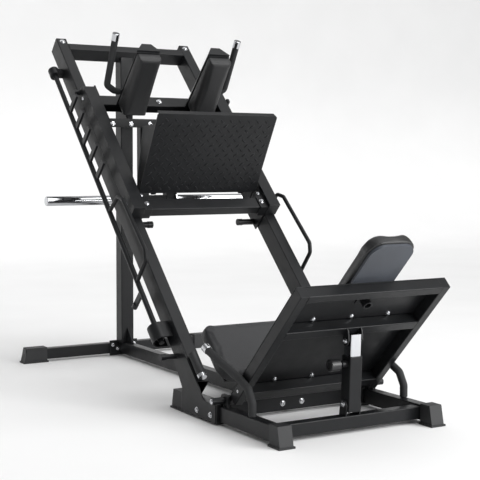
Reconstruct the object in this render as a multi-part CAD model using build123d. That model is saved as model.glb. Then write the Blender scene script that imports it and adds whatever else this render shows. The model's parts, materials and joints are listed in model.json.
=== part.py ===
"""Combined hack squat and leg press machine.

Two inclined guide rails carry a sliding carriage with a foot plate, shoulder
pads and weight horns.  A low seat, a tilting backrest panel on a telescopic
strut and two lock shafts with catch fingers complete the machine.

Row frame: +Z up, +Y towards the high end of the rails, +X to the right seen
from the low end.  Origin on the floor, in the middle of the overall footprint.
The members are laid out from the floor frame's middle and moved by FRAME_Y.
Lengths in millimetres.
"""

from build123d import *
from math import cos, radians, sin
import os

os.makedirs("parts", exist_ok=True)

# ---------------------------------------------------------------- sizes ----
WALL = 3.0                     # wall of the structural tubes
RAIL_ANGLE = 45.0              # slope of the guide rails
RAIL_ORIGIN_Y = -686.0         # where the rails' upper faces meet the floor
RAIL_X = 380.0                 # rail centre from the middle
RAIL_W = 60.0
RAIL_D = 100.0
RAIL_LOW = 222.0               # low end of the rail tubes, along the slope
RAIL_TOP = 2530.0

SIDE_X = 375.0                 # centre of the floor side tubes
SIDE_W = 50.0
TUBE_Z0 = 14.0
TUBE_Z1 = 80.0

POST = 75.0                    # rear post, square
POST_Y = 1105.0
REAR_Y0 = 1131.0               # rear stabiliser tube
REAR_Y1 = 1181.0

HINGE_Y = -714.0               # tilt axis of the backrest panel
HINGE_Z = 107.0
PANEL_TILT = 45.0
PANEL_HALF = 366.0
PANEL_LEN = 735.0
PANEL_TUBE = 40.0
PANEL_DEPTH = 50.0
PIVOT_S = 464.0                # strut's upper pivot, on the panel
PIVOT_N = -77.0

STRUT_Y = -1083.0              # strut's lower pivot
STRUT_Z = 122.0
PIN_R = 6.0                    # pivot bolts
SLOT_Y = 12.6                  # half sizes of the slot round the upper pivot bolt
SLOT_Z = 8.6
RUN = 0.05                     # radial running clearance

LOCK_X = 455.0                 # lock shaft axis
LOCK_N = -80.0
LOCK_R = 12.5
LOCK_LOW = 496.0
LOCK_TOP = 2334.0
FINGER_S = (1525.0, 1647.0, 1769.0, 1891.0, 2013.0)

CAR_LOW = 1180.0               # carriage side members
CAR_TOP = 2076.0
ROLLER_S = (1250.0, 2010.0)
ROLLER_R = 25.0

HORN_Y = 700.0                 # weight horn axis
HORN_Z = 906.0
HORN_R = 25.0
HORN_TIP = 627.0

FRAME_Y = 96.1                 # floor frame's middle, from the whole footprint's middle

C45 = cos(radians(RAIL_ANGLE))
S45 = sin(radians(RAIL_ANGLE))
SIDES = ((-1, "left"), (1, "right"))

# ------------------------------------------------------ working planes -----
# Rail plane: local X across, local Y up the slope, local Z off the upper face.
RAIL = Plane(origin=(0, RAIL_ORIGIN_Y, 0), x_dir=(1, 0, 0), z_dir=(0, -S45, C45))
# Panel plane: local Y runs down the panel, local Z towards the seat.
PANEL = Plane(
    origin=(0, HINGE_Y, HINGE_Z),
    x_dir=(1, 0, 0),
    z_dir=(0, sin(radians(PANEL_TILT)), cos(radians(PANEL_TILT))),
)


def rail_point(x, s, n):
    """Row position of a point given across, up the slope and off the face."""
    return Vector(x, RAIL_ORIGIN_Y + (s - n) * C45, (s + n) * S45)


def panel_point(x, s, n):
    """Row position of a point given across, up the panel and off its face."""
    return Vector(x, HINGE_Y - s * C45 + n * S45, HINGE_Z + s * S45 + n * C45)


PIVOT = panel_point(0, PIVOT_S, PIVOT_N)
STRUT_BASE = Vector(0, STRUT_Y, STRUT_Z)
STRUT_LEN = (PIVOT - STRUT_BASE).length
STRUT = Plane(
    origin=STRUT_BASE,
    x_dir=(1, 0, 0),
    z_dir=(PIVOT - STRUT_BASE).normalized(),
)


# --------------------------------------------------------------- helpers ---
def on(plane, shape):
    return plane.location * shape


def block(x0, x1, y0, y1, z0, z1):
    size = Box(abs(x1 - x0), abs(y1 - y0), abs(z1 - z0))
    return Pos((x0 + x1) / 2, (y0 + y1) / 2, (z0 + z1) / 2) * size


def soft_block(x0, x1, y0, y1, z0, z1, axis, r):
    """Block with its four edges along one axis rounded."""
    body = block(x0, x1, y0, y1, z0, z1)
    return fillet(body.edges().filter_by(axis), r)


def tube(x0, x1, y0, y1, z0, z1, axis, wall=WALL, r=4.0, low=0.0, high=0.0):
    """Rectangular tube along an axis; low and high close its ends."""
    outer = soft_block(x0, x1, y0, y1, z0, z1, axis, r)
    w = [wall, wall, wall]
    w2 = [wall, wall, wall]
    i = {Axis.X: 0, Axis.Y: 1, Axis.Z: 2}[axis]
    w[i] = low if low else -1.0
    w2[i] = high if high else -1.0
    inner = block(
        min(x0, x1) + w[0], max(x0, x1) - w2[0],
        min(y0, y1) + w[1], max(y0, y1) - w2[1],
        min(z0, z1) + w[2], max(z0, z1) - w2[2],
    )
    return outer - inner


def rod(a, b, r):
    """Round bar from point a to point b."""
    a = Vector(*a)
    b = Vector(*b)
    base = Plane(origin=a, z_dir=(b - a).normalized())
    bar = Cylinder(r, (b - a).length, align=(Align.CENTER, Align.CENTER, Align.MIN))
    return base.location * bar


def bolt(p, d, r=9.0, h=7.0, washer=12.0):
    """Domed bolt head on a washer, standing on point p along direction d."""
    plane = Plane(origin=Vector(*p), z_dir=Vector(*d))
    low = (Align.CENTER, Align.CENTER, Align.MIN)
    head = Cylinder(r, h, align=low)
    head = chamfer(head.edges().sort_by(Axis.Z)[-1], min(2.5, h * 0.4))
    socket = Pos(0, 0, h - 3.0) * extrude(RegularPolygon(r * 0.5, 6), amount=4)
    head = head + Cylinder(washer, 1.6, align=low)
    return plane.location * (head - socket)


def plate_yz(points, x0, x1):
    """Flat plate with an outline in the YZ plane, between x0 and x1."""
    face = make_face(Polyline(*[(0, y, z) for y, z in points], close=True))
    return extrude(Pos(min(x0, x1), 0, 0) * face, abs(x1 - x0), dir=(1, 0, 0))


def bent_bar(points, radius, r):
    """Round bar along a path with rounded bends."""
    path = FilletPolyline(*[Vector(*p) for p in points], radius=radius)
    start = Plane(origin=path @ 0, z_dir=path % 0)
    return sweep(start * Circle(r), path=path)


def save(shape, name):
    if isinstance(shape, (list, tuple)):
        solids = []
        for item in shape:
            solids.extend(item.solids())
    else:
        solids = list(shape.solids())
    solids = [Pos(0, FRAME_Y, 0) * solid for solid in solids]
    result = solids[0] if len(solids) == 1 else Compound(children=solids)
    result.label = name
    export_step(result, "parts/" + name + ".step")


# ------------------------------------------------------------ floor frame --
def rear_stabilizer():
    return tube(-585, 585, REAR_Y0, REAR_Y1, TUBE_Z0, 74, Axis.X, low=WALL, high=WALL)


def rear_foot(sg):
    """Rubber boot that wraps one end of the rear stabiliser."""
    outline = [(463, 8), (463, 82), (578, 82), (594, 8)]
    body = extrude(
        Plane.XZ.offset(-REAR_Y1 - 8) * make_face(Polyline(*outline, close=True)),
        REAR_Y1 - REAR_Y0 + 14,
    )
    pad = block(456, 600, REAR_Y0 - 12, 1190, 0, 8)
    pocket = block(400, 585, REAR_Y0, REAR_Y1, TUBE_Z0, 74)
    boot = body + pad - pocket
    if sg < 0:
        boot = mirror(boot, about=Plane.YZ)
    return boot


def rear_post():
    """Upright post, coped at the top around the cross tube."""
    half = POST / 2
    post = tube(-half, half, POST_Y - half, POST_Y + half, TUBE_Z1, 1716, Axis.Z, wall=3)
    notch = on(RAIL, block(-60, 60, 2443, 2700, -80, 300))
    rear = block(-60, 60, POST_Y - half, POST_Y + half, 1700, 1800)
    return (post - notch - rear).solids().sort_by(SortBy.VOLUME)[-1]


def center_spine():
    body = tube(-25, 25, -598, 1125, TUBE_Z0, TUBE_Z1, Axis.Y)
    plate = block(-85, 85, 1125, REAR_Y0, 4, 89) - block(-38, 38, 1100, 1150, TUBE_Z1, 95)
    post_gusset = plate_yz([(985, 80), (1067.5, 80), (1067.5, 165)], -3, 3)
    return body + plate + post_gusset


def seat_crossmember():
    return tube(-344, 344, -648, -598, TUBE_Z0, TUBE_Z1, Axis.X)


def side_tube(sg):
    x0 = sg * SIDE_X - SIDE_W / 2
    x1 = sg * SIDE_X + SIDE_W / 2
    return tube(x0, x1, -1164, -296, TUBE_Z0, TUBE_Z1, Axis.Y, low=WALL, high=WALL)


def side_boot(sg, y_in, y_out, y_end):
    """Rubber boot on one end of a side tube; y_out is the slanted end."""
    d = 1 if y_out > y_in else -1
    outline = [(y_in, 8), (y_in, 87), (y_out - d * 22, 87), (y_out - d * 6, 8)]
    body = plate_yz(outline, -SIDE_W / 2 - 7, SIDE_W / 2 + 7)
    pad = block(-SIDE_W / 2 - 12, SIDE_W / 2 + 12, y_in - d * 4, y_out, 0, 8)
    pocket = block(-SIDE_W / 2, SIDE_W / 2, y_in - d * 40, y_end, TUBE_Z0, TUBE_Z1)
    return Pos(sg * SIDE_X, 0, 0) * (body + pad - pocket)


def side_tube_feet():
    feet = []
    for sg, _ in SIDES:
        feet.append(side_boot(sg, -1108, -1190, -1164))
        feet.append(side_boot(sg, -378, -274, -296))
    return feet


def front_cross_tube():
    return tube(-350, 350, -1100, -1050, 19, 73, Axis.X)


def rail_foot(sg):
    """Sleeve round the side tube with the leg plate that carries the rail."""
    sleeve = block(344, 410, -704, -385, 8, 86)
    sleeve = sleeve - block(350, 400, -720, -370, TUBE_Z0, TUBE_Z1)
    ring = block(341, 413, -704, -696, 5, 88) + block(341, 413, -393, -385, 5, 88)
    ring = ring - block(344, 410, -720, -370, 8, 86)
    top_front = rail_point(0, 430, 0)
    top_rear = rail_point(0, 430, -RAIL_D)
    outline = [
        (-696, 8), (-696, 86), (-610, 88), (-585, 96), (-565, 113), (-552, 134),
        (top_front.Y, top_front.Z), (top_rear.Y, top_rear.Z),
        (-398, 110), (-393, 86), (-393, 8),
    ]
    plate = plate_yz(outline, 410, 416)
    peg_a = rail_point(416, 414, -73)
    peg_b = rail_point(495, 414, -73)
    peg = rod((416, peg_a.Y, peg_a.Z), (495, peg_b.Y, peg_b.Z), 12)
    cap = rod((470, peg_a.Y, peg_a.Z), (495, peg_b.Y, peg_b.Z), 15)
    web = plate_yz([(-470, 86), (-402, 86), (-402, 140.5)], 377, 383)
    web = web - on(RAIL, block(340, 420, 100, 900, -RAIL_D, 40))
    body = sleeve + ring + plate + peg + cap + web
    if sg < 0:
        body = mirror(body, about=Plane.YZ)
    return body


# ------------------------------------------------------------------ rails --
def rail(sg):
    x0 = sg * RAIL_X - RAIL_W / 2
    x1 = sg * RAIL_X + RAIL_W / 2
    body = tube(x0, x1, RAIL_LOW, RAIL_TOP, -RAIL_D, 0, Axis.Y, high=WALL, r=5)
    return on(RAIL, body)


def top_cross_tube():
    return on(RAIL, tube(-350, 350, 2443, 2492, -80, 0, Axis.X))


def lock_shaft_bearings():
    """Upper cup and lower arched bracket for each lock shaft."""
    parts = []
    for sg, _ in SIDES:
        x = sg * LOCK_X
        low = (Align.CENTER, Align.CENTER, Align.MIN)
        turn = Pos(x, 0, LOCK_N) * Rot(-90, 0, 0)
        cup = Pos(0, 2302, 0) * turn * Cylinder(28.5, 48, align=low)
        web = block(sg * 410, x, 2308, 2344, LOCK_N - 18, LOCK_N + 18)
        bore = Pos(0, 2300, 0) * turn * Cylinder(LOCK_R + RUN, 36, align=low)
        parts.append(on(RAIL, cup + web - bore))
        hub = Pos(0, 520, 0) * turn * Cylinder(20, 50, align=low)
        arch = Pos(0, 503, 0) * turn * Cylinder(41, 84, align=low)
        arch = arch + block(sg * 410, x, 503, 587, LOCK_N - 41, LOCK_N + 41)
        hollow = Pos(0, 480, 0) * turn * Cylinder(36, 140, align=low)
        hollow = hollow + block(sg * 400, x, 480, 620, LOCK_N - 36, LOCK_N + 36)
        arch = arch - hollow
        arm = block(sg * 410, x, 530, 560, LOCK_N - 8, LOCK_N + 8)
        bore = Pos(0, 480, 0) * turn * Cylinder(LOCK_R + RUN, 140, align=low)
        parts.append(on(RAIL, hub + arm - bore))
        parts.append(on(RAIL, arch - arm))
    return parts


def lower_buffers():
    """Rubber stop bars lying on the low end of the rails."""
    return [
        rod(rail_point(sg * 391, 243, 19), rail_point(sg * 391, 355, 19), 19)
        for sg, _ in SIDES
    ]


# ------------------------------------------------------------------- seat --
def seat_frame():
    """Inclined bearer, short post and two flat cross plates under the seat."""
    bearer = on(RAIL, tube(-25, 25, 270, 545, -183, -133, Axis.Y, high=WALL))
    bearer = bearer - block(-60, 60, -500, -200, 0, TUBE_Z1)
    post = tube(-25, 25, -262, -212, TUBE_Z1, 230, Axis.Z)
    post = post - on(RAIL, block(-60, 60, 200, 700, -183, 100))
    low = on(RAIL, block(-170, 170, 300, 345, -133, -127))
    high = on(RAIL, block(-170, 170, 485, 530, -133, -127))
    base = on(RAIL, block(-205, 205, 285, 545, -127, -115.3))
    return [(bearer + low + high), post, base]


def seat_pad():
    """Seat cushion with wide round corners at the low end."""
    face = make_face(Polyline(
        (-235, 262), (235, 262), (235, 565), (-235, 565), close=True,
    ))
    low = face.vertices().sort_by(Axis.Y)[:2]
    face = fillet(low, 95)
    high = face.vertices().sort_by(Axis.Y)[-2:]
    face = fillet(high, 40)
    body = extrude(Pos(0, 0, -115) * face, 65, dir=(0, 0, 1))
    top = body.edges().group_by(Axis.Z)[-1]
    body = fillet(top, 16)
    return on(RAIL, body)


HANDLE_PATH = [
    (-945, 80), (-945, 134), (-914, 187), (-850, 216), (-740, 248), (-590, 294), (-560, 306),
]


def seat_handle_path(sg, first, last):
    pts = [(sg * 385, y, z) for y, z in HANDLE_PATH]
    return pts


def seat_handle_tubes():
    return [bent_bar(seat_handle_path(sg, 0, 7), 22, 12.5) for sg, _ in SIDES]


def seat_handle_grips():
    """Foam sleeves, a little short of each end of the steel bars."""
    grips = []
    for sg, _ in SIDES:
        pts = seat_handle_path(sg, 0, 7)
        a = Vector(*pts[-2])
        b = Vector(*pts[-1])
        pts[-1] = tuple(a + (b - a) * 0.25)
        pts[0] = (pts[0][0], pts[0][1], 84)
        foam = bent_bar(pts, 22, 17)
        core = bent_bar(seat_handle_path(sg, 0, 7), 22, 12.5)
        grips.append(foam - core)
    return grips


def chrome_end_caps():
    """Bright caps: seat handles, and the low ends of the rubber stop bars."""
    caps = []
    for sg, _ in SIDES:
        pts = seat_handle_path(sg, 0, 7)
        a = Vector(*pts[-2])
        b = Vector(*pts[-1])
        d = (b - a).normalized()
        start = a + (b - a) * 0.25
        end = b + d * 8
        cap = rod(tuple(start), tuple(end), 19.5)
        cap = chamfer(cap.edges().filter_by(GeomType.CIRCLE), 2)
        caps.append(cap - rod(tuple(a), tuple(b), 12.5))
        low = rod(rail_point(sg * 391, 226, 19.8), rail_point(sg * 391, 243, 19.8), 19.8)
        caps.append(low)
    return caps


# --------------------------------------------------------- pivot brackets --
def pivot_brackets():
    """Ears for the panel axle and the strut's lower clevis plates."""
    parts = []
    for sg, _ in SIDES:
        ear = plate_yz(
            [(-744, 80), (-744, 112), (-731, 131), (-697, 131), (-684, 112),
             (-684, 86), (-704, 86), (-704, 80)],
            sg * 371, sg * 385,
        )
        ear = ear - rod((sg * 360, HINGE_Y, HINGE_Z), (sg * 400, HINGE_Y, HINGE_Z), 15)
        ring_cut = block(sg * 330, sg * 420, -705, -683, 70, 89)
        parts.append(ear - ring_cut)
        plate = plate_yz(
            [(-1100, 73), (-1106, 118), (-1098, 136), (-1083, 142), (-1068, 136),
             (-1060, 118), (-1054, 73)],
            sg * 31, sg * 37,
        )
        hole = rod((sg * 20, STRUT_Y, STRUT_Z), (sg * 60, STRUT_Y, STRUT_Z), PIN_R)
        parts.append(plate - hole)
    return parts


def panel_axle():
    return rod((-443, HINGE_Y, HINGE_Z), (443, HINGE_Y, HINGE_Z), 15)


def frame_bolts():
    parts = []
    for sg, _ in SIDES:
        n_dir = (0, -S45, C45)
        s_dir = (0, C45, S45)
        parts.append(bolt(rail_point(sg * RAIL_X, 2503, 0), n_dir, 11, 8, 15))
        parts.append(bolt(rail_point(sg * LOCK_X, 2350, LOCK_N), s_dir, 10, 8, 14))
        parts.append(bolt((sg * 50, -648, 47), (0, -1, 0), 10, 8, 13))
        parts.append(bolt((sg * 318, -648, 47), (0, -1, 0), 9, 7, 12))
        parts.append(bolt((sg * 37, 1125, 40), (0, -1, 0), 8.5, 7, 11))
        parts.append(bolt((sg * 66, 1125, 62), (0, -1, 0), 8.5, 7, 11))
        parts.append(bolt((sg * 416, -537, 38), (sg, 0, 0), 10, 8, 13))
        parts.append(bolt((sg * 416, -657, 38), (sg, 0, 0), 10, 8, 13))
        parts.append(bolt((sg * 443, HINGE_Y, HINGE_Z), (sg, 0, 0), 8, 6, 11))
    pin = rod((-37, STRUT_Y, STRUT_Z), (37, STRUT_Y, STRUT_Z), PIN_R)
    left = bolt((-37, STRUT_Y, STRUT_Z), (-1, 0, 0), 10, 8, 13)
    right = bolt((37, STRUT_Y, STRUT_Z), (1, 0, 0), 10, 8, 13)
    parts.append(pin + left + right)
    return parts


# --------------------------------------------------------------- carriage --
def carriage_side(sg):
    """Channel over one rail, inner keeper plates, end socket, catch pin."""
    shell = block(350, 412, CAR_LOW, CAR_TOP, 2, 75)
    corner = shell.edges().filter_by(Axis.X).sort_by(Axis.Y)[-2:].sort_by(Axis.Z)[-1]
    shell = fillet(corner, 40)
    shell = shell - block(354, 408, CAR_LOW + 4, CAR_TOP - 4, -10, 69)
    upper = block(343, 350, 1790, 2060, 2, 75) + block(343, 349, 1790, 2060, -112, 2)
    upper = upper + block(349, 372, 1960, 2060, -112, -106)
    lower = block(343, 350, 1184, 1330, 2, 56) + block(343, 349, 1184, 1330, -112, 2)
    lower = lower + block(349, 372, 1200, 1300, -112, -106)
    socket = block(306, 343, 1184, 1265, -6, 56) - block(300, 343, 1190, 1259, 0, 50)
    ledge = block(322.5, 343, 1265, 1303, 20, 50)
    pin = rod((412, 2068, 14), (443.5, 2068, 14), 15)
    tab = block(405, 412, 2040, CAR_TOP, 4, 30)
    cover = on(Plane.XY, block(408, 412, 2050, CAR_TOP, 2, 34))
    body = shell + upper + lower + socket + ledge + pin + tab + cover
    if sg < 0:
        body = mirror(body, about=Plane.YZ)
    return on(RAIL, body)


def upper_crossbar():
    return on(RAIL, tube(-343, 343, 1927, 2000, 10, 60, Axis.X))


def lower_crossbar():
    """Cross tube at the carriage's low end, with two small stub pegs below."""
    bar = on(RAIL, tube(-343, 343, 1190, 1259, 0, 50, Axis.X))
    parts = [bar]
    for sg, _ in SIDES:
        peg = rod((sg * 245, 1223, -97), (sg * 343, 1223, -97), 15)
        cap = rod((sg * 245, 1223, -97), (sg * 270, 1223, -97), 17)
        parts.append(on(RAIL, peg + cap))
    return parts


def shoulder_plate():
    """Angle plate that carries the shoulder pads and the weight hangers."""
    top = block(-343, 343, 540, 735, 1325, 1331)
    flange = block(-343, 343, 540, 546, 1286, 1325)
    risers = []
    for sg, _ in SIDES:
        rib = plate_yz([(620, 1331), (735, 1331), (697, 1369), (648, 1369)], sg * 200, sg * 206)
        rib = rib - on(RAIL, block(-350, 350, 1927, 2000, 10, 60))
        risers.append(rib)
    return [top + flange] + risers


def shoulder_support(sg):
    """Tapered box behind one shoulder pad, with its bent grab bar."""
    outline = Polyline((139, 1921), (267, 1921), (226, 1973), (173, 1973), close=True)
    body = extrude(Pos(0, 0, 60) * make_face(outline), 377, dir=(0, 0, 1))
    inside = Polyline((143, 1924), (263, 1924), (224, 1970), (175, 1970), close=True)
    body = body - extrude(Pos(0, 0, 50) * make_face(inside), 384, dir=(0, 0, 1))
    board = block(139, 267, 1915.3, 1921, 60, 425)
    body = body + board
    path = [(246, 1938, 140), (300, 1938, 150), (346, 1945, 178), (353, 2026, 445)]
    bar = bent_bar(path, 26, 12.5)
    body = body + bar
    if sg < 0:
        body = mirror(body, about=Plane.YZ)
    return on(RAIL, body)


def shoulder_pad(sg):
    """Wedge shaped pad facing down the rails."""
    pts = [(0, 1868, 426), (0, 1915, 426), (0, 1915, 82), (0, 1808, 82)]
    face = make_face(Polyline(*pts, close=True))
    body = extrude(Pos(139, 0, 0) * face, 128, dir=(1, 0, 0))
    front = body.faces().sort_by(Axis.Y)[0]
    body = fillet(front.edges(), 12)
    if sg < 0:
        body = mirror(body, about=Plane.YZ)
    return on(RAIL, body)


def carriage_handle_grips():
    grips = []
    for sg, _ in SIDES:
        d = Vector(7, 81, 267).normalized()
        end = Vector(353, 2026, 445) - d * 34
        foam = bent_bar(
            [(271, 1938, 144.6), (300, 1938, 150), (346, 1945, 178), tuple(end)], 26, 17,
        )
        path = [(246, 1938, 140), (300, 1938, 150), (346, 1945, 178), (353, 2026, 445)]
        foam = foam - bent_bar(path, 26, 12.5)
        if sg < 0:
            foam = mirror(foam, about=Plane.YZ)
        grips.append(on(RAIL, foam))
    return grips


def carriage_handle_caps():
    caps = []
    for sg, _ in SIDES:
        d = Vector(7, 81, 267).normalized()
        tip = Vector(353, 2026, 445)
        cap = rod(tuple(tip - d * 34), tuple(tip + d * 6), 19)
        cap = chamfer(cap.edges().filter_by(GeomType.CIRCLE), 2)
        cap = cap - rod(tuple(tip - d * 60), tuple(tip), 12.5)
        if sg < 0:
            cap = mirror(cap, about=Plane.YZ)
        caps.append(on(RAIL, cap))
    return caps


FOOT_LOW = (1310.0, 37.0)      # foot plate's lower edge, up the slope and off it
FOOT_TOP = (1428.0, 460.0)
FOOT_HALF = 332.0
FOOT_T = 6.0


def foot_frame():
    """Plane with local Y up the foot plate and local Z behind it."""
    a = rail_point(0, *FOOT_LOW)
    b = rail_point(0, *FOOT_TOP)
    up = (b - a).normalized()
    back = Vector(1, 0, 0).cross(up)
    return Plane(origin=a, x_dir=(1, 0, 0), z_dir=back), (b - a).length


def footplate():
    """Tread plate with a lip bent back along its top edge."""
    plane, length = foot_frame()
    side = -1.0 if plane.z_dir.Y < 0 else 1.0
    z0 = 0.0
    z1 = side * FOOT_T
    face = Polyline(
        (-FOOT_HALF, 6), (-FOOT_HALF + 6, 0), (FOOT_HALF - 6, 0), (FOOT_HALF, 6),
        (FOOT_HALF, length - 8), (FOOT_HALF - 8, length), (-FOOT_HALF + 8, length),
        (-FOOT_HALF, length - 8), close=True,
    )
    body = extrude(make_face(face), z1, dir=(0, 0, 1))
    lip = block(-FOOT_HALF + 8, FOOT_HALF - 8, length - 6, length, z0, side * 30)
    edge = (body + lip)
    return plane.location * edge


def footplate_brackets():
    """Side gussets and the two short tabs below the foot plate."""
    plane, length = foot_frame()
    side = -1.0 if plane.z_dir.Y < 0 else 1.0
    parts = []
    low_a = rail_point(0, 1266, 50)
    low_b = rail_point(0, 1266, 2)
    for sg, _ in SIDES:
        gusset = plate_yz(
            [(low_a.Y, low_a.Z), (low_b.Y, low_b.Z), (262, 902), (258, 1005), (190, 1280),
             (-40, 1296), (150, 945)],
            sg * 316, sg * 322,
        )
        front = plane.location * block(-400, 400, -200, 700, -side * 600, side * FOOT_T)
        parts.append(gusset - front)
        a = rail_point(0, 1259, 44)
        b = rail_point(0, 1259, 20)
        tab = plate_yz([(a.Y, a.Z), (b.Y, b.Z), (230, 952), (205, 990), (170, 960)],
                       sg * 236, sg * 262)
        parts.append(tab - front)
    return parts


def hanger_frame():
    """Two square tubes hanging below the carriage, joined at their low ends."""
    parts = []
    for sg, _ in SIDES:
        x0 = sg * 77 - 25
        x1 = sg * 77 + 25
        parts.append(tube(x0, x1, HORN_Y - 25, HORN_Y + 25, 872, 1325, Axis.Z, low=WALL))
    parts.append(tube(-52, 52, HORN_Y - 20, HORN_Y + 20, 890, 930, Axis.X))
    return parts


def weight_horns():
    """Plate loading sleeves with a flange at the root."""
    horns = []
    for sg, _ in SIDES:
        bar = rod((sg * 102, HORN_Y, HORN_Z), (sg * HORN_TIP, HORN_Y, HORN_Z), HORN_R)
        tip = bar.edges().filter_by(GeomType.CIRCLE).sort_by(Axis.X)[-1 if sg > 0 else 0]
        bar = chamfer(tip, 2)
        bore = rod((sg * 150, HORN_Y, HORN_Z), (sg * (HORN_TIP - 12), HORN_Y, HORN_Z), 20)
        flange = rod((sg * 102, HORN_Y, HORN_Z), (sg * 110, HORN_Y, HORN_Z), 45)
        horns.append(bar - bore + flange)
    return horns


def guide_roller(sg, s):
    """Grooveless roller that carries the channel on the rail's upper face."""
    a = (sg * 361, s, ROLLER_R + 0.3)
    b = (sg * 401, s, ROLLER_R + 0.3)
    wheel = rod(a, b, ROLLER_R)
    wheel = chamfer(wheel.edges().filter_by(GeomType.CIRCLE), 2)
    bore = rod((sg * 340, s, ROLLER_R + 0.3), (sg * 420, s, ROLLER_R + 0.3), PIN_R + RUN)
    return on(RAIL, wheel - bore)


def carriage_bolts():
    parts = []
    n_dir = (0, -S45, C45)
    parts.append(bolt(rail_point(0, 1963, 60), n_dir, 11, 8, 15))
    for sg, _ in SIDES:
        for x in (323, 221, 112):
            parts.append(bolt((sg * x, 540, 1305), (0, -1, 0), 9.5, 7, 12))
        parts.append(bolt(rail_point(sg * 325, 1224, 56), n_dir, 10, 8, 13))
        parts.append(bolt(rail_point(sg * 333, 1285, 50), n_dir, 7.5, 6, 9.5))
        for s in ROLLER_S:
            n = ROLLER_R + 0.3
            axle = rod((sg * 354, s, n), (sg * 408, s, n), PIN_R)
            parts.append(on(RAIL, axle))
            p = rail_point(sg * 412, s, n)
            parts.append(bolt(p, (sg, 0, 0), 9, 5, 10))
    return parts


# ------------------------------------------------------------ lock shafts --
def lock_rod(sg):
    x = sg * LOCK_X
    return on(RAIL, rod((x, LOCK_LOW, LOCK_N), (x, LOCK_TOP, LOCK_N), LOCK_R))


def lock_fingers(sg):
    """Five flat catch fingers and the counter arm, standing on the shaft."""
    x = sg * LOCK_X
    shaft = rod((x, LOCK_LOW, LOCK_N), (x, LOCK_TOP, LOCK_N), LOCK_R)
    parts = []
    for s in FINGER_S:
        finger = block(x - 6, x + 6, s - 14, s + 14, LOCK_N + 4, 45)
        tops = finger.edges().filter_by(Axis.X).sort_by(Axis.Z)[-2:]
        finger = fillet(tops, 8)
        parts.append(on(RAIL, finger - shaft))
    arm = block(x - 6, x + 6, 776, 804, -168, LOCK_N - 4)
    tip = rod((x, 790, -192), (x, 790, -164), 14)
    parts.append(on(RAIL, arm + tip - shaft))
    return parts


def release_handle(sg):
    """Long D shaped grab handle that turns the lock shaft."""
    x = sg * LOCK_X
    path = [(x, 1300, LOCK_N + 4), (x, 1286, 42), (x, 1236, 76), (x, 905, 88), (x, 868, 58),
            (x, 856, LOCK_N + 4)]
    bar = bent_bar(path, 24, 10)
    shaft = rod((x, LOCK_LOW, LOCK_N), (x, LOCK_TOP, LOCK_N), LOCK_R)
    bar = bar - shaft
    return on(RAIL, bar.solids().sort_by(SortBy.VOLUME)[-1])


# ---------------------------------------------------------- backrest panel --
def panel_block(x0, x1, s0, s1, n0, n1):
    return block(x0, x1, -s1, -s0, n0, n1)


def panel_side_tubes():
    """Side tubes with round hinge bosses at their low ends."""
    parts = []
    for sg, _ in SIDES:
        inner = sg * (PANEL_HALF - PANEL_TUBE)
        outer = sg * PANEL_HALF
        bar = tube(inner, outer, -PANEL_LEN, -32, -PANEL_DEPTH, 0, Axis.Y, low=WALL)
        lug = panel_block(inner, outer, 0, 32, -20, 0)
        boss = rod((inner, 0, 0), (outer, 0, 0), 21)
        bore = rod((sg * 300, 0, 0), (sg * 400, 0, 0), 15 + RUN)
        parts.append(on(PANEL, bar + lug + boss - bore))
    return parts


def panel_cross_tubes():
    half = PANEL_HALF - PANEL_TUBE
    spans = ((695, PANEL_LEN), (465, 510), (60, 105))
    return [
        on(PANEL, tube(-half, half, -s1, -s0, -PANEL_DEPTH, 0, Axis.X))
        for s0, s1 in spans
    ]


def panel_plate():
    plate = panel_block(-PANEL_HALF, PANEL_HALF, 40, PANEL_LEN, 0, 3)
    return on(PANEL, plate)


def panel_brackets():
    """Upper clevis plates of the strut and the round socket behind the pad."""
    parts = []
    for sg, _ in SIDES:
        outline = [
            (-509, -50), (-503, -64), (-482, -90), (-464, -97), (-447, -88), (-444, -70),
            (-466, -50),
        ]
        pts = [(0, y, z) for y, z in outline]
        face = make_face(Polyline(*pts, close=True))
        plate = extrude(Pos(min(sg * 31, sg * 37), 0, 0) * face, 6, dir=(1, 0, 0))
        hole = rod((sg * 20, -PIVOT_S, PIVOT_N), (sg * 60, -PIVOT_S, PIVOT_N), PIN_R)
        parts.append(on(PANEL, plate - hole))
    socket = rod((0, -641, -42), (0, -641, 0), 20) - rod((0, -641, -50), (0, -641, -6), 15)
    flange = panel_block(-30, 30, 611, 671, -4, 0) - rod((0, -641, -50), (0, -641, -6), 15)
    parts.append(on(PANEL, socket + flange))
    return parts


def backrest_board():
    board = panel_block(-104, 104, 150, 948, 3, 15)
    top = board.edges().filter_by(Axis.Z).sort_by(Axis.Y)[:2]
    return on(PANEL, fillet(top, 60))


def backrest_pad():
    """Long cushion with a domed top end."""
    pad = panel_block(-117, 117, 136, 960, 15.3, 68)
    top = pad.edges().filter_by(Axis.Z).sort_by(Axis.Y)[:2]
    pad = fillet(top, 68)
    low = pad.edges().filter_by(Axis.Z).sort_by(Axis.Y)[-2:]
    pad = fillet(low, 24)
    pad = fillet(pad.edges().group_by(Axis.Z)[-1], 16)
    return on(PANEL, pad)


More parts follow.
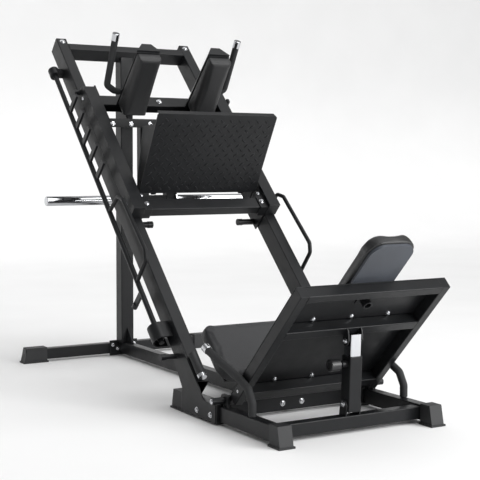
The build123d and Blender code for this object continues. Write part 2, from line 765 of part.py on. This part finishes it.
def panel_bolts():
    parts = []
    back = Vector(0, -S45, -C45)
    front = Vector(0, S45, C45)
    for x in (-187, 0, 187):
        parts.append(bolt(tuple(panel_point(x, 525, 0)), tuple(back), 9, 7, 11))
        parts.append(bolt(tuple(panel_point(x, 120, 0)), tuple(back), 9, 7, 11))
    for sg, _ in SIDES:
        parts.append(bolt(tuple(panel_point(sg * 224, 722, 3)), tuple(front), 9, 6, 11))
        parts.append(bolt(tuple(panel_point(sg * PANEL_HALF, 95, -24)), (sg, 0, 0), 6, 1.7, 6.4))
    y = PIVOT.Y
    z = PIVOT.Z
    pin = rod((-37, y, z), (37, y, z), PIN_R)
    left = bolt((-37, y, z), (-1, 0, 0), 10, 8, 13)
    right = bolt((37, y, z), (1, 0, 0), 10, 8, 13)
    parts.append(pin + left + right)
    return parts


# ------------------------------------------------------------------ strut --
def strut_outer_tube():
    """Outer square tube with the collar of the pull pin on its left face."""
    body = tube(-30, 30, -30, 30, -31, 196, Axis.Z, wall=3, r=4)
    body = body - rod((-50, 0, 0), (50, 0, 0), PIN_R + RUN)
    collar = rod((-29, 0, 164), (-54, 0, 164), 14)
    body = body + (collar - block(-27, 27, -27, 27, 100, 196))
    body = body - rod((-20, 0, 164), (-80, 0, 164), 6 + RUN)
    return on(STRUT, body)


def strut_inner_tube():
    """Bright inner tube; the slot at its top gives the pivot bolt free play."""
    top = STRUT_LEN + 27
    body = tube(-25, 25, -25, 25, 72, top, Axis.Z, wall=3, r=4, high=WALL)
    edge = on(STRUT, body)
    cut = on(PANEL, panel_block(-60, 60, 440, 600, PIVOT_N + 21, 20))
    edge = edge - cut
    slot = block(-60, 60, -SLOT_Y, SLOT_Y, STRUT_LEN - SLOT_Z, STRUT_LEN + SLOT_Z)
    slot = fillet(slot.edges().filter_by(Axis.X), SLOT_Z - 0.5)
    return edge - on(STRUT, slot)


def pull_pin_plunger():
    return on(STRUT, rod((-25.4, 0, 164), (-76, 0, 164), 6))


def pull_pin_knob():
    knob = rod((-66, 0, 164), (-114, 0, 164), 25)
    knob = chamfer(knob.edges().filter_by(GeomType.CIRCLE), 3)
    dish = rod((-110, 0, 164), (-120, 0, 164), 15)
    core = rod((-60, 0, 164), (-76, 0, 164), 6)
    return on(STRUT, knob - dish - core)


# ----------------------------------------------------------------- output --
def main():
    save(rear_stabilizer(), "rear_stabilizer")
    save([rear_foot(-1), rear_foot(1)], "rear_feet")
    save(rear_post(), "rear_post")
    save(center_spine(), "center_spine")
    save(seat_crossmember(), "seat_crossmember")
    save(side_tube_feet(), "side_tube_feet")
    save(front_cross_tube(), "front_cross_tube")
    save(top_cross_tube(), "top_cross_tube")
    save(lock_shaft_bearings(), "lock_shaft_bearings")
    save(lower_buffers(), "lower_buffers")
    save(seat_frame(), "seat_frame")
    save(seat_pad(), "seat_pad")
    save(seat_handle_tubes(), "seat_handle_tubes")
    save(seat_handle_grips(), "seat_handle_grips")
    save(chrome_end_caps(), "chrome_end_caps")
    save(pivot_brackets(), "pivot_brackets")
    save(panel_axle(), "panel_axle")
    save(frame_bolts(), "frame_bolts")
    for sg, side in SIDES:
        save(side_tube(sg), "side_tube_" + side)
        save(rail_foot(sg), "rail_foot_" + side)
        save(rail(sg), "rail_" + side)
        save(carriage_side(sg), "carriage_side_" + side)
        save(shoulder_pad(sg), "shoulder_pad_" + side)
        save(lock_rod(sg), "lock_rod_" + side)
        save(lock_fingers(sg), "lock_fingers_" + side)
        save(release_handle(sg), "release_handle_" + side)
        save(guide_roller(sg, ROLLER_S[0]), "guide_roller_lower_" + side)
        save(guide_roller(sg, ROLLER_S[1]), "guide_roller_upper_" + side)
    save(upper_crossbar(), "upper_crossbar")
    save(lower_crossbar(), "lower_crossbar")
    save(shoulder_plate(), "shoulder_plate")
    save([shoulder_support(-1), shoulder_support(1)], "shoulder_supports")
    save(carriage_handle_grips(), "carriage_handle_grips")
    save(carriage_handle_caps(), "carriage_handle_caps")
    save(footplate(), "footplate")
    save(footplate_brackets(), "footplate_brackets")
    save(hanger_frame(), "hanger_frame")
    save(weight_horns(), "weight_horns")
    save(carriage_bolts(), "carriage_bolts")
    save(panel_side_tubes(), "panel_side_tubes")
    save(panel_cross_tubes(), "panel_cross_tubes")
    save(panel_plate(), "panel_plate")
    save(panel_brackets(), "panel_brackets")
    save(backrest_board(), "backrest_board")
    save(backrest_pad(), "backrest_pad")
    save(panel_bolts(), "panel_bolts")
    save(strut_outer_tube(), "strut_outer_tube")
    save(strut_inner_tube(), "strut_inner_tube")
    save(pull_pin_plunger(), "pull_pin_plunger")
    save(pull_pin_knob(), "pull_pin_knob")


main()
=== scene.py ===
import bpy
import bmesh
import json
import math
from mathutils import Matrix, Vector


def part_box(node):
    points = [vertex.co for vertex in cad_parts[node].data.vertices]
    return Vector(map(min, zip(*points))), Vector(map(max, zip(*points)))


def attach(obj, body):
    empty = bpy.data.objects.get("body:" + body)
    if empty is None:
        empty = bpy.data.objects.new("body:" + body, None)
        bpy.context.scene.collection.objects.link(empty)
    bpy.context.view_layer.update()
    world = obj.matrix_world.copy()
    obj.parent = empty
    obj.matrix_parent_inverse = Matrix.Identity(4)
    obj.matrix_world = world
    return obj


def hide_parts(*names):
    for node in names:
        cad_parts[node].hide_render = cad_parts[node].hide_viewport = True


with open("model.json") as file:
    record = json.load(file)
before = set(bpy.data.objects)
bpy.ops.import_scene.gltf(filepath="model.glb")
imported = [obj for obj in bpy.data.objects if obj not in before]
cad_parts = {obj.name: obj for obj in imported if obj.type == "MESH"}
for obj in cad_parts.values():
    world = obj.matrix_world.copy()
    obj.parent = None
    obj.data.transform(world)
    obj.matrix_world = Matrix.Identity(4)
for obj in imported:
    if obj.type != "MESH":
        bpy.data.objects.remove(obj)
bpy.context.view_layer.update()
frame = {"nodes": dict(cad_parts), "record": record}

nodes = frame["nodes"]

# ------------------------------------------------------------ working axes --
C45 = math.cos(math.radians(45.0))
FRAME_Y = 0.0961
RAIL_Y = -0.686 + FRAME_Y
HINGE = Vector((0.0, -0.714 + FRAME_Y, 0.107))


def rail(x, s, n):
    """A place given across, up the rails and off their upper face, in metres."""
    return Vector((x, RAIL_Y + (s - n) * C45, (s + n) * C45))


def panel(x, s, n):
    """A place given across, up the backrest panel and off its face, in metres."""
    return Vector((x, HINGE.y - s * C45 + n * C45, HINGE.z + s * C45 + n * C45))


RAIL_UP = Vector((0, C45, C45))
RAIL_OFF = Vector((0, -C45, C45))
PANEL_OFF = Vector((0, C45, C45))


# --------------------------------------------------------------- materials --
def new_material(name):
    mat = bpy.data.materials.new(name)
    mat.use_nodes = True
    tree = mat.node_tree
    bsdf = tree.nodes["Principled BSDF"]
    return mat, tree, bsdf


def add(tree, kind, **inputs):
    node = tree.nodes.new(kind)
    for key, value in inputs.items():
        node.inputs[key.replace("_", " ")].default_value = value
    return node


def ramp(tree, fac, stops):
    node = tree.nodes.new("ShaderNodeValToRGB")
    elements = node.color_ramp.elements
    while len(elements) < len(stops):
        elements.new(0.5)
    for element, (place, colour) in zip(elements, stops):
        element.position = place
        if isinstance(colour, (int, float)):
            colour = (colour, colour, colour)
        element.color = (*colour, 1.0)
    tree.links.new(fac, node.inputs["Fac"])
    return node.outputs["Color"]


def coords(tree):
    """Object coordinates, in metres: the same in every view and pose."""
    node = tree.nodes.new("ShaderNodeTexCoord")
    return node.outputs["Object"]


def noise_tex(tree, vector, scale, detail=4.0, rough=0.5):
    node = add(tree, "ShaderNodeTexNoise", Scale=scale, Detail=detail, Roughness=rough)
    tree.links.new(vector, node.inputs["Vector"])
    return node.outputs["Fac"]


def bump(tree, bsdf, height, strength, distance, normal=None):
    node = add(tree, "ShaderNodeBump", Strength=strength, Distance=distance)
    tree.links.new(height, node.inputs["Height"])
    if normal is not None:
        tree.links.new(normal, node.inputs["Normal"])
    tree.links.new(node.outputs["Normal"], bsdf.inputs["Normal"])
    return node


def mix_colour(tree, fac, a, b):
    node = tree.nodes.new("ShaderNodeMix")
    node.data_type = "RGBA"
    tree.links.new(fac, node.inputs["Factor"])
    for socket, value in ((node.inputs["A"], a), (node.inputs["B"], b)):
        if isinstance(value, tuple):
            socket.default_value = (*value, 1.0)
        else:
            tree.links.new(value, socket)
    return node.outputs["Result"]


def edge_mask(tree, radius):
    """1 near sharp edges, 0 on flats, with the rounded normal for shading."""
    bevel = add(tree, "ShaderNodeBevel", Radius=radius)
    bevel.samples = 6
    geometry = tree.nodes.new("ShaderNodeNewGeometry")
    dot = tree.nodes.new("ShaderNodeVectorMath")
    dot.operation = "DOT_PRODUCT"
    tree.links.new(bevel.outputs["Normal"], dot.inputs[0])
    tree.links.new(geometry.outputs["Normal"], dot.inputs[1])
    mask = ramp(tree, dot.outputs["Value"], ((0.82, 1.0), (0.985, 0.0)))
    return mask, bevel.outputs["Normal"]


def powder_coat(name, base, edge_wear_and_highlight, roughness, orange_peel=0.12):
    """Satin powder coat: fine orange peel, soft tone changes, and a lighter colour on sharp edges
    for rubbed wear and a painted highlight.
    """
    mat, tree, bsdf = new_material(name)
    at = coords(tree)
    broad = noise_tex(tree, at, 5.0, 3.0)
    fine = noise_tex(tree, at, 900.0, 2.0)
    smudge = noise_tex(tree, at, 22.0, 5.0, 0.6)
    mask, rounded = edge_mask(tree, 0.0022)
    dark = tuple(c * 0.86 for c in base)
    light = tuple(c * 1.18 for c in base)
    tone = ramp(tree, broad, ((0.32, dark), (0.68, light)))
    # Sharp edges get the lighter edge colour: rubbed wear and a painted highlight.
    tree.links.new(mix_colour(tree, mask, tone, edge_wear_and_highlight), bsdf.inputs["Base Color"])
    rough = ramp(tree, smudge, ((0.3, roughness - 0.05), (0.7, roughness + 0.06)))
    tree.links.new(rough, bsdf.inputs["Roughness"])
    bsdf.inputs["Specular IOR Level"].default_value = 0.25
    bump(tree, bsdf, fine, orange_peel, 0.0006, rounded)
    return mat


def chrome_metal(name, colour, roughness, brushed=0.0):
    mat, tree, bsdf = new_material(name)
    at = coords(tree)
    smudge = noise_tex(tree, at, 18.0, 3.0, 0.5)
    tone = ramp(tree, smudge, ((0.3, tuple(c * 0.94 for c in colour)), (0.7, colour)))
    tree.links.new(tone, bsdf.inputs["Base Color"])
    bsdf.inputs["Metallic"].default_value = 1.0
    rough = ramp(tree, smudge, ((0.35, roughness), (0.75, roughness + 0.03)))
    tree.links.new(rough, bsdf.inputs["Roughness"])
    fine = noise_tex(tree, at, 700.0, 2.0)
    bump(tree, bsdf, fine, 0.015 + brushed, 0.0003)
    return mat


def rubber(name, base, roughness, scale=420.0, strength=0.3):
    mat, tree, bsdf = new_material(name)
    at = coords(tree)
    dust = noise_tex(tree, at, 9.0, 5.0, 0.65)
    pores = noise_tex(tree, at, scale, 3.0)
    tone = ramp(tree, dust, ((0.3, base), (0.75, tuple(c * 1.5 + 0.004 for c in base))))
    tree.links.new(tone, bsdf.inputs["Base Color"])
    rough = ramp(tree, dust, ((0.3, roughness), (0.8, min(roughness + 0.12, 1.0))))
    tree.links.new(rough, bsdf.inputs["Roughness"])
    bump(tree, bsdf, pores, strength, 0.0008)
    return mat


def vinyl(name, base, roughness, grain_scale, strength, sheen=0.0):
    """Upholstery vinyl: pebbled grain over soft tone changes, with painted shade in the hollows of
    the grain.
    """
    mat, tree, bsdf = new_material(name)
    at = coords(tree)
    cells = add(tree, "ShaderNodeTexVoronoi", Scale=grain_scale)
    tree.links.new(at, cells.inputs["Vector"])
    wrinkle = noise_tex(tree, at, grain_scale * 0.35, 4.0, 0.6)
    broad = noise_tex(tree, at, 6.0, 3.0)
    low = tuple(c * 0.85 for c in base)
    high = tuple(c * 1.2 for c in base)
    tone = ramp(tree, broad, ((0.3, low), (0.7, high)))
    # Painted shade: the colour darkens towards the grain's hollows, where the bump is lowest.
    grain_hollow_shade = ramp(tree, cells.outputs["Distance"], ((0.05, 0.0), (0.55, 1.0)))
    dark = tuple(c * 0.6 for c in base)
    tree.links.new(mix_colour(tree, grain_hollow_shade, tone, dark), bsdf.inputs["Base Color"])
    rough = ramp(tree, wrinkle, ((0.3, roughness - 0.05), (0.7, roughness + 0.07)))
    tree.links.new(rough, bsdf.inputs["Roughness"])
    height = tree.nodes.new("ShaderNodeMath")
    height.operation = "SUBTRACT"
    tree.links.new(wrinkle, height.inputs[0])
    tree.links.new(cells.outputs["Distance"], height.inputs[1])
    bump(tree, bsdf, height.outputs["Value"], strength, 0.0009)
    bsdf.inputs["Sheen Weight"].default_value = sheen
    return mat


# name, base colour, lighter edge colour (rubbed wear and painted highlight), roughness; then grain
# scales and strengths
paint = powder_coat("satin_black_coat", (0.009, 0.0095, 0.0105), (0.022, 0.023, 0.025), 0.36)
# Tread coat: lighter and glossier than the frame paint, with a much lighter edge colour; on the
# lugs this stands for worn tread and a painted highlight.
tread_paint = powder_coat("tread_black_coat", (0.011, 0.0115, 0.0125), (0.045, 0.047, 0.051), 0.32)
foam_mat = rubber("black_foam", (0.011, 0.0115, 0.0125), 0.72, 650.0, 0.45)
rubber_mat = rubber("black_rubber", (0.012, 0.0125, 0.0135), 0.55, 300.0, 0.25)
chrome_mat = chrome_metal("polished_chrome", (0.62, 0.63, 0.65), 0.10)
zinc_mat = chrome_metal("bright_zinc", (0.72, 0.73, 0.75), 0.22, 0.1)
seat_mat = vinyl("seat_vinyl", (0.024, 0.025, 0.028), 0.58, 420.0, 0.5, 0.12)
pad_mat = vinyl("pad_vinyl", (0.010, 0.0105, 0.012), 0.42, 620.0, 0.35, 0.06)
board_mat = rubber("grey_board_film", (0.038, 0.043, 0.053), 0.42, 500.0, 0.08)
plastic_mat = rubber("black_knob_plastic", (0.010, 0.010, 0.011), 0.30, 260.0, 0.10)
nylon_mat = rubber("roller_nylon", (0.10, 0.10, 0.10), 0.5, 300.0, 0.1)

SLOT_MATERIAL = {
    "black_paint": paint,
    "black_rubber": rubber_mat,
    "black_foam": foam_mat,
    "seat_vinyl": seat_mat,
    "black_vinyl": pad_mat,
    "chrome": chrome_mat,
    "zinc": zinc_mat,
    "grey_board": board_mat,
    "black_plastic": plastic_mat,
    "roller_nylon": nylon_mat,
}


def assign(obj, mat):
    obj.data.materials.clear()
    obj.data.materials.append(mat)


for entry in frame["record"]["subparts"]:
    part = nodes[entry["node"]]
    mat = SLOT_MATERIAL[entry["material_slot"]]
    if entry["node"] == "footplate":
        mat = tread_paint
    if part.material_slots:
        for holder in part.material_slots:
            holder.material = mat
    else:
        assign(part, mat)


# ------------------------------------------------------------ mesh helpers --
def mesh_object(name, bm, mat, body, smooth=True):
    mesh = bpy.data.meshes.new(name)
    bm.normal_update()
    bm.to_mesh(mesh)
    bm.free()
    obj = bpy.data.objects.new(name, mesh)
    bpy.context.collection.objects.link(obj)
    if smooth:
        for face in mesh.polygons:
            face.use_smooth = True
    assign(obj, mat)
    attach(obj, body)
    return obj


# -------------------------------------------------------------------- pads --
def evaluated_copy(obj, name):
    graph = bpy.context.evaluated_depsgraph_get()
    graph.update()
    mesh = bpy.data.meshes.new_from_object(obj.evaluated_get(graph))
    mesh.name = name
    return mesh


SIM_FRAMES = 20


def simulate_pad(obj, pinned, cap, pressure):
    """Swells the pad like a stuffed cover; the pinned side stays on its board."""
    start = [v.co.copy() for v in obj.data.vertices]
    group = obj.vertex_groups.new(name="pin")
    for v in obj.data.vertices:
        weight = pinned(v.co)
        if weight > 0:
            group.add([v.index], weight, "REPLACE")
    cloth = obj.modifiers.new("Cloth", "CLOTH")
    settings = cloth.settings
    settings.quality = 6
    settings.mass = 0.3
    settings.tension_stiffness = 25
    settings.compression_stiffness = 25
    settings.shear_stiffness = 8
    settings.bending_stiffness = 1.2
    settings.use_pressure = True
    settings.uniform_pressure_force = pressure
    settings.effector_weights.gravity = 0
    settings.vertex_group_mass = "pin"
    cloth.collision_settings.use_collision = False
    scene = bpy.context.scene
    cloth.point_cache.frame_start = 1
    cloth.point_cache.frame_end = SIM_FRAMES
    for number in range(1, SIM_FRAMES + 1):
        scene.frame_set(number)
    mesh = evaluated_copy(obj, obj.name + "_swollen")
    scene.frame_set(1)
    obj.modifiers.clear()
    obj.vertex_groups.clear()
    for v, p in zip(mesh.vertices, start):
        move = v.co - p
        if move.length > cap:
            v.co = p + move.normalized() * cap
    obj.data = mesh


VOXEL = 0.006                  # remesh size of the covers
PINNED_BAND = 0.010            # held to the board


def make_pad(node, body, mat, off, board, inset, cap, pressure):
    """Upholstered pad that stands for a plain CAD solid.

    off is the direction out of its board, board the distance of the pad's
    flat side along off, inset how much smaller the cover starts than the
    solid, and cap how far the simulation may move any point."""
    source = nodes[node]
    obj = bpy.data.objects.new(node + "_cover", source.data.copy())
    bpy.context.collection.objects.link(obj)
    middle = sum((Vector(c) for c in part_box(node)), Vector()) / 2
    along = off.orthogonal().normalized()
    for v in obj.data.vertices:
        p = v.co - middle
        height = v.co.dot(off) - board
        flat = p - off * p.dot(off)
        if flat.length > 1e-6:
            flat = flat * max(0.0, 1.0 - inset / max(flat.length, 0.03))
        height = max(0.0, height) * (1.0 - inset * 0.35 / 0.06)
        v.co = middle + flat + off * (board + height - middle.dot(off))
    remesh = obj.modifiers.new("Remesh", "REMESH")
    remesh.mode = "VOXEL"
    remesh.voxel_size = VOXEL
    obj.data = evaluated_copy(obj, obj.name + "_base")
    obj.modifiers.clear()
    def pinned(co):
        return 1.0 if co.dot(off) - board < PINNED_BAND else 0.0
    simulate_pad(obj, pinned, cap, pressure)
    smooth = obj.modifiers.new("Smooth", "SMOOTH")
    smooth.factor = 0.5
    smooth.iterations = 4
    sub = obj.modifiers.new("Subdivision", "SUBSURF")
    sub.levels = 1
    sub.render_levels = 1
    obj.data = evaluated_copy(obj, obj.name + "_mesh")
    obj.modifiers.clear()
    for face in obj.data.polygons:
        face.use_smooth = True
    assign(obj, mat)
    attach(obj, body)
    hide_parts(node)
    return obj


# Each pad rests on its board: off the rails' or the panel's face, in metres.
SEAT_BOARD_N = -0.115
BACK_BOARD_N = 0.0153
SHOULDER_BOARD_S = 1.915
seat_board = rail(0, 0.4, SEAT_BOARD_N).dot(RAIL_OFF)
make_pad("seat_pad", "frame", seat_mat, RAIL_OFF, seat_board,
         inset=0.003, cap=0.006, pressure=2.5)
back_board = panel(0, 0.4, BACK_BOARD_N).dot(PANEL_OFF)
make_pad("backrest_pad", "backrest_panel", pad_mat, PANEL_OFF, back_board,
         inset=0.004, cap=0.007, pressure=3.0)
shoulder_board = rail(0, SHOULDER_BOARD_S, 0).dot(-RAIL_UP)
for side in ("left", "right"):
    make_pad("shoulder_pad_" + side, "carriage", pad_mat, -RAIL_UP,
             shoulder_board, inset=0.002, cap=0.003, pressure=1.5)


# ------------------------------------------------------------- foot plate --
FOOT_LOW = (1.310, 0.037)      # edges of the tread plate: up the rails and off them
FOOT_TOP = (1.428, 0.460)
LUG_PITCH_X = 0.0505
LUG_PITCH_U = 0.0535
LUG_ROWS = 16
LUG_COLUMNS = 14
LUG_HALF = 0.0155              # half length, half width and height of a lug
LUG_WIDE = 0.0045
LUG_HIGH = 0.0024
LUG_TURN = 42.0
LUG_STEPS = 7
LUG_FIRST = 0.030              # first row, up the plate
LUG_EDGE_X = 0.318             # no lug beyond these
LUG_EDGE_TOP = 0.015
SUNK = 0.0002                  # a lug's rim lies this far in the plate


def add_lug(bm, centre, along, wide, front):
    """One lens shaped lug: half rings of five points, closed underneath."""
    rings = []
    for i in range(LUG_STEPS):
        t = -1 + 2 * i / (LUG_STEPS - 1)
        width = LUG_WIDE * math.sqrt(max(0.0, 1 - t * t)) + SUNK
        rise = LUG_HIGH * (1 - t * t * 0.85)
        p = centre + along * (t * LUG_HALF)
        rings.append([
            bm.verts.new(p + wide * width - front * SUNK),
            bm.verts.new(p + wide * width * 0.5 + front * rise * 0.8),
            bm.verts.new(p + front * rise),
            bm.verts.new(p - wide * width * 0.5 + front * rise * 0.8),
            bm.verts.new(p - wide * width - front * SUNK),
        ])
    for r0, r1 in zip(rings, rings[1:]):
        for k in range(4):
            bm.faces.new((r0[k], r0[k + 1], r1[k + 1], r1[k]))
        bm.faces.new((r0[4], r0[0], r1[0], r1[4]))
    bm.faces.new(list(reversed(rings[0])))
    bm.faces.new(rings[-1])


def foot_plate_lugs():
    """Raised lens shaped lugs of the tread plate, in rows turned either way."""
    low = rail(0, *FOOT_LOW)
    top = rail(0, *FOOT_TOP)
    up = (top - low).normalized()
    length = (top - low).length
    across = Vector((1, 0, 0))
    front = up.cross(across)
    if front.y > 0:
        front = -front
    bm = bmesh.new()
    for row in range(LUG_ROWS):
        odd = row % 2
        turn = math.radians(LUG_TURN if odd else -LUG_TURN)
        along = across * math.cos(turn) + up * math.sin(turn)
        wide = across * -math.sin(turn) + up * math.cos(turn)
        u = LUG_FIRST + row * LUG_PITCH_U / 2
        for col in range(LUG_COLUMNS):
            x = (col - (LUG_COLUMNS - 1) / 2) * LUG_PITCH_X + (LUG_PITCH_X / 2 if odd else 0.0)
            if abs(x) > LUG_EDGE_X or u > length - LUG_EDGE_TOP:
                continue
            add_lug(bm, low + across * x + up * u, along, wide, front)
    bmesh.ops.recalc_face_normals(bm, faces=bm.faces)
    return mesh_object("footplate_tread_lugs", bm, tread_paint, "carriage")


foot_plate_lugs()


# ------------------------------------------------------------------ stage --
FLOOR_FRONT = -9.0             # paper sweep: floor, round corner, wall
FLOOR_BACK = 7.0
SWEEP_R = 2.5
SWEEP_STEPS = 12
WALL_TOP = 9.0
HALF_WIDTH = 14.0
BELOW = 0.0005                 # the paper lies just under the feet


def backdrop():
    """Paper floor that sweeps up into a wall behind the machine."""
    outline = [(FLOOR_FRONT, 0.0), (FLOOR_BACK, 0.0)]
    for i in range(1, SWEEP_STEPS + 1):
        a = math.pi / 2 * i / SWEEP_STEPS
        outline.append((FLOOR_BACK + SWEEP_R * math.sin(a), SWEEP_R - SWEEP_R * math.cos(a)))
    outline.append((FLOOR_BACK + SWEEP_R, WALL_TOP))
    bm = bmesh.new()
    last = None
    for y, z in outline:
        pair = [bm.verts.new((x, y, z - BELOW)) for x in (-HALF_WIDTH, HALF_WIDTH)]
        if last:
            bm.faces.new((last[0], last[1], pair[1], pair[0]))
        last = pair
    mesh = bpy.data.meshes.new("studio_floor")
    bm.to_mesh(mesh)
    bm.free()
    obj = bpy.data.objects.new("studio_floor", mesh)
    bpy.context.collection.objects.link(obj)
    for face in mesh.polygons:
        face.use_smooth = True
    mat, tree, bsdf = new_material("studio_paper")
    tone = ramp(tree, noise_tex(tree, coords(tree), 1.5, 2.0), ((0.3, 0.86), (0.7, 0.88)))
    tree.links.new(tone, bsdf.inputs["Base Color"])
    bsdf.inputs["Roughness"].default_value = 0.9
    bsdf.inputs["Specular IOR Level"].default_value = 0.1
    assign(obj, mat)


def area_light(name, place, target, size, power):
    data = bpy.data.lights.new(name, "AREA")
    data.shape = "RECTANGLE"
    data.size = size[0]
    data.size_y = size[1]
    data.energy = power
    obj = bpy.data.objects.new(name, data)
    bpy.context.collection.objects.link(obj)
    obj.location = place
    obj.rotation_euler = (Vector(target) - Vector(place)).to_track_quat("-Z", "Y").to_euler()


backdrop()
WORLD_STRENGTH = 0.30
world = bpy.data.worlds.new("studio_world")
world.use_nodes = True
sky = world.node_tree.nodes["Background"]
sky.inputs["Color"].default_value = (1.0, 1.0, 1.0, 1.0)
sky.inputs["Strength"].default_value = WORLD_STRENGTH
bpy.context.scene.world = world
area_light("front_light", (2.6, -4.6, 1.6), (0, 0, 0.8), (2.4, 2.4), 150)
area_light("top_light", (0.5, 0.5, 5.0), (0, 0, 0.6), (4.0, 4.0), 40)

SUN_ENERGY = 2.25
SUN_SPREAD = 60.0
SUN_TRAVEL = Vector((-0.25, 0.65, -0.8))
sun_data = bpy.data.lights.new("soft_sun", "SUN")
sun_data.energy = SUN_ENERGY
sun_data.angle = math.radians(SUN_SPREAD)
sun = bpy.data.objects.new("soft_sun", sun_data)
bpy.context.collection.objects.link(sun)
sun.rotation_euler = SUN_TRAVEL.to_track_quat("-Z", "Y").to_euler()

CAMERA_LENS = 85.08
CAMERA_PLACE = (-2.7209, -4.8120 + FRAME_Y, 1.0890)
CAMERA_DIP = 1.981             # degrees below level, and turn from the +Y axis
CAMERA_TURN = -30.511
CAMERA_SHIFT = -0.0734
camera_data = bpy.data.cameras.new("photo_camera")
camera_data.lens = CAMERA_LENS
camera_data.sensor_width = 36.0
camera_data.shift_y = CAMERA_SHIFT
camera = bpy.data.objects.new("photo_camera", camera_data)
bpy.context.collection.objects.link(camera)
camera.location = CAMERA_PLACE
camera.rotation_euler = (math.radians(90 - CAMERA_DIP), 0.0, math.radians(CAMERA_TURN))
bpy.context.scene.camera = camera
bpy.context.scene.view_settings.view_transform = "Standard"
